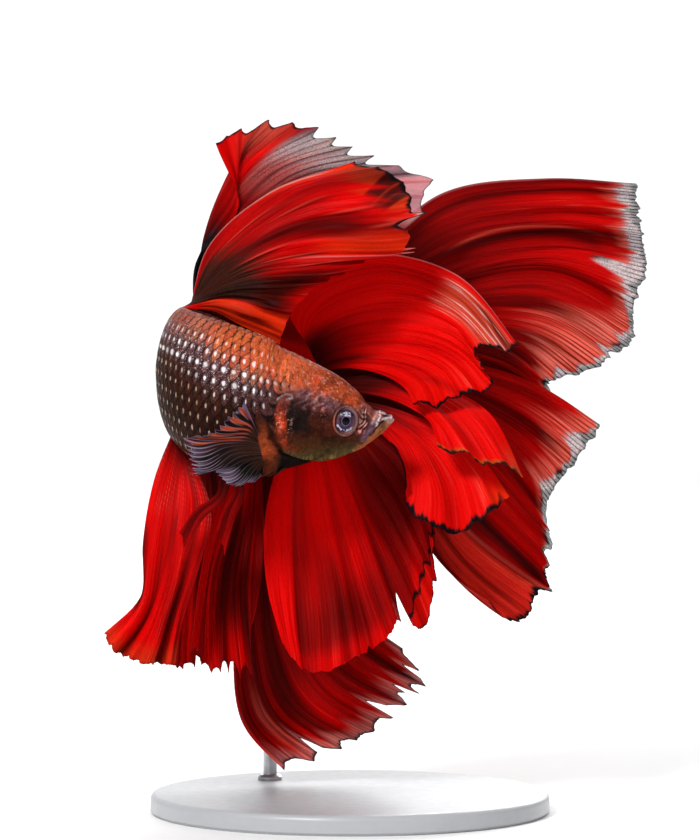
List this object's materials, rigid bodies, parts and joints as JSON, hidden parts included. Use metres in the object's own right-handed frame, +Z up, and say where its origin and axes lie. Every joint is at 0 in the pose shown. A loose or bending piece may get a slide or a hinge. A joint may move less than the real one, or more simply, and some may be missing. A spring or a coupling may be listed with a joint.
{
  "type": "betta fish model",
  "caption": "Life-size still model of a male halfmoon betta fish turning on itself with spread, folded fins, held by a thin rod on a round display base.",
  "frame": {"origin": "centre of the underside of the round display base", "axes": "+Z up; the fish's head points to +X and its right side faces -Y; the tail lies behind the chest, on the +Y side"},
  "size_m": [0.0554, 0.04, 0.0691],
  "materials": {
    "fish_skin": "scaly, satin wet sheen",
    "eye": "glossy, dark purple iris with a black pupil",
    "fin_red": "thin membrane, satin",
    "fin_dark_red": "thin membrane, satin",
    "fin_lilac": "thin membrane, satin",
    "stand_white": "satin white acrylic",
    "stand_steel": "satin stainless steel"
  },
  "bodies": {
    "root": {"head": "fish_skin", "trunk_front": "fish_skin", "trunk_bend": "fish_skin", "tail": "fish_skin", "eye_right": "eye", "eye_left": "eye", "dorsal_fin_front": "fin_red", "dorsal_fin_rear": "fin_dark_red", "tail_fin_upper_front": "fin_red", "tail_fin_frill_upper": "fin_red", "tail_fin_frill_lower": "fin_red", "tail_fin_lower_front": "fin_red", "tail_fin_lowest": "fin_red", "tail_fin_upper": "fin_dark_red", "tail_fin_middle": "fin_dark_red", "tail_fin_lower": "fin_dark_red", "anal_fin_front": "fin_red", "anal_fin_middle": "fin_dark_red", "anal_fin_inner": "fin_dark_red", "anal_fin_rear": "fin_dark_red", "pectoral_fin_right": "fin_lilac", "pectoral_fin_left": "fin_lilac", "pelvic_fin_right": "fin_red", "pelvic_fin_left": "fin_red", "stand_base": "stand_white", "stand_rod": "stand_steel"}
  },
  "joints": []
}
